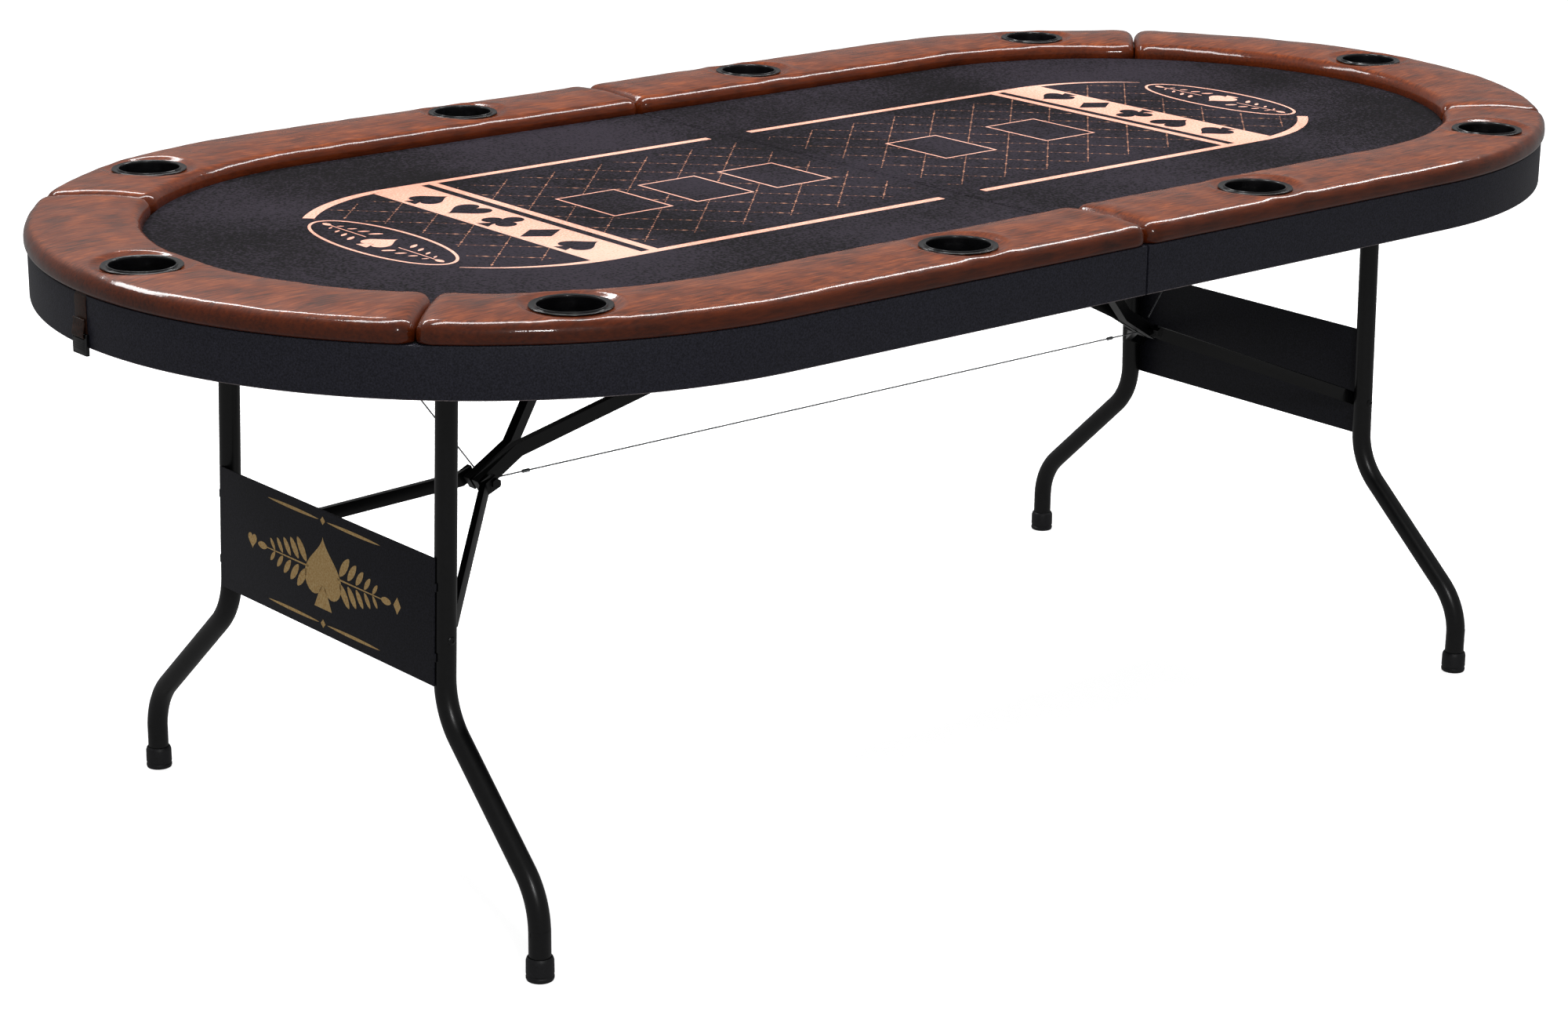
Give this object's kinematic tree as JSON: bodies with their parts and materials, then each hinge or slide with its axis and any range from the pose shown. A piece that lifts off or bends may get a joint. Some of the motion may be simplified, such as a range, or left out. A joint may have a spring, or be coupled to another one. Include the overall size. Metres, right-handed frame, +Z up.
{
  "type": "folding poker table",
  "caption": "Racetrack-shaped folding poker table with padded rail, drop-in cup holders, printed cloth and folding tube legs.",
  "frame": {"origin": "on the floor under the middle of the table", "axes": "+X along the length from the strapped left end to the right end, +Y across to the far side, +Z up"},
  "size_m": [2.1422, 1.074, 0.762],
  "materials": {
    "rail_vinyl": "glossy mottled brown vinyl over foam",
    "skirt_vinyl": "fine-grained black vinyl laminate",
    "playing_cloth": "black woven cloth with a printed peach layout",
    "foam": "open-cell foam sheet",
    "board": "medium density fibreboard",
    "cup_plastic": "moulded black ABS",
    "foot_plastic": "moulded black polypropylene",
    "black_steel": "black powder coat on steel",
    "panel_steel": "fine black powder coat on sheet steel",
    "zinc_steel": "zinc-plated steel",
    "wire": "stranded steel wire with crimped sleeves",
    "webbing": "woven brown webbing"
  },
  "bodies": {
    "half_left": {"deck_left": "board", "foam_pad_left": "foam", "playing_cloth_left": "playing_cloth", "skirt_left": "skirt_vinyl", "seam_rail_left": "board", "rail_near_left": "rail_vinyl", "rail_end_left": "rail_vinyl", "rail_far_left": "rail_vinyl", "cup_near_inner_left": "cup_plastic", "cup_near_outer_left": "cup_plastic", "cup_end_left": "cup_plastic", "cup_far_outer_left": "cup_plastic", "cup_far_inner_left": "cup_plastic", "leg_clamp_left": "black_steel", "brace_bracket_left": "black_steel", "hinge_leaf_left": "zinc_steel", "stay_cable_left": "wire", "tie_cable": "wire", "hinge_pin": "zinc_steel"},
    "half_right": {"deck_right": "board", "foam_pad_right": "foam", "playing_cloth_right": "playing_cloth", "skirt_right": "skirt_vinyl", "seam_rail_right": "board", "rail_near_right": "rail_vinyl", "rail_end_right": "rail_vinyl", "rail_far_right": "rail_vinyl", "cup_near_inner_right": "cup_plastic", "cup_near_outer_right": "cup_plastic", "cup_end_right": "cup_plastic", "cup_far_outer_right": "cup_plastic", "cup_far_inner_right": "cup_plastic", "leg_clamp_right": "black_steel", "brace_bracket_right": "black_steel", "hinge_leaf_right": "zinc_steel", "stay_cable_right": "wire"},
    "leg_frame_left": {"leg_tube_near_left": "black_steel", "foot_cap_near_left": "foot_plastic", "leg_tube_far_left": "black_steel", "foot_cap_far_left": "foot_plastic", "cross_tube_left": "black_steel", "end_panel_left": "panel_steel"},
    "leg_frame_right": {"leg_tube_near_right": "black_steel", "foot_cap_near_right": "foot_plastic", "leg_tube_far_right": "black_steel", "foot_cap_far_right": "foot_plastic", "cross_tube_right": "black_steel", "end_panel_right": "panel_steel"},
    "lower_brace_left": {"lower_arm_near_left": "black_steel", "lower_arm_far_left": "black_steel"},
    "lower_brace_right": {"lower_arm_near_right": "black_steel", "lower_arm_far_right": "black_steel"},
    "upper_brace_left": {"upper_arm_near_left": "black_steel", "upper_arm_far_left": "black_steel"},
    "upper_brace_right": {"upper_arm_near_right": "black_steel", "upper_arm_far_right": "black_steel"},
    "strap_left_body": {"strap_left": "webbing", "buckle_left": "cup_plastic"},
    "strap_right_body": {"strap_right": "webbing", "buckle_right": "cup_plastic"}
  },
  "joints": [
    {"name": "centre_fold", "type": "hinge", "parent": "half_left", "child": "half_right", "pos_m": [0, 0, 0.6735], "axis": [0, 1, 0], "range_deg": [0, 90], "deforming": ["tie_cable"]},
    {"name": "left_leg_fold", "type": "hinge", "parent": "half_left", "child": "leg_frame_left", "pos_m": [-0.76, 0, 0.7], "axis": [0, -1, 0], "range_deg": [0, 91.5]},
    {"name": "left_upper_brace_fold", "type": "hinge", "parent": "half_left", "child": "upper_brace_left", "pos_m": [-0.12, 0, 0.7], "axis": [0, 1, 0], "range_deg": [0, 30.84], "deforming": ["stay_cable_left"]},
    {"name": "left_lower_brace_fold", "type": "hinge", "parent": "leg_frame_left", "child": "lower_brace_left", "pos_m": [-0.77026, 0, 0.345], "axis": [0, -1, 0], "range_deg": [0, 64.6]},
    {"name": "left_strap_swing", "type": "hinge", "parent": "half_left", "child": "strap_left_body", "pos_m": [-1.0679, 0.02, 0.7348], "axis": [0, 1, 0], "range_deg": [0, 90]},
    {"name": "right_leg_fold", "type": "hinge", "parent": "half_right", "child": "leg_frame_right", "pos_m": [0.76, 0, 0.7], "axis": [0, 1, 0], "range_deg": [0, 91.5]},
    {"name": "right_upper_brace_fold", "type": "hinge", "parent": "half_right", "child": "upper_brace_right", "pos_m": [0.12, 0, 0.7], "axis": [0, -1, 0], "range_deg": [0, 30.84], "deforming": ["stay_cable_right"]},
    {"name": "right_lower_brace_fold", "type": "hinge", "parent": "leg_frame_right", "child": "lower_brace_right", "pos_m": [0.77026, 0, 0.345], "axis": [0, 1, 0], "range_deg": [0, 64.6]},
    {"name": "right_strap_swing", "type": "hinge", "parent": "half_right", "child": "strap_right_body", "pos_m": [1.0679, 0.02, 0.7348], "axis": [0, -1, 0], "range_deg": [0, 90]}
  ],
  "couplings": [
    {"joint": "left_upper_brace_fold", "follows": "left_leg_fold", "ratio": 0.3365},
    {"joint": "left_lower_brace_fold", "follows": "left_leg_fold", "ratio": 0.7055},
    {"joint": "right_upper_brace_fold", "follows": "right_leg_fold", "ratio": 0.3365},
    {"joint": "right_lower_brace_fold", "follows": "right_leg_fold", "ratio": 0.7055}
  ]
}
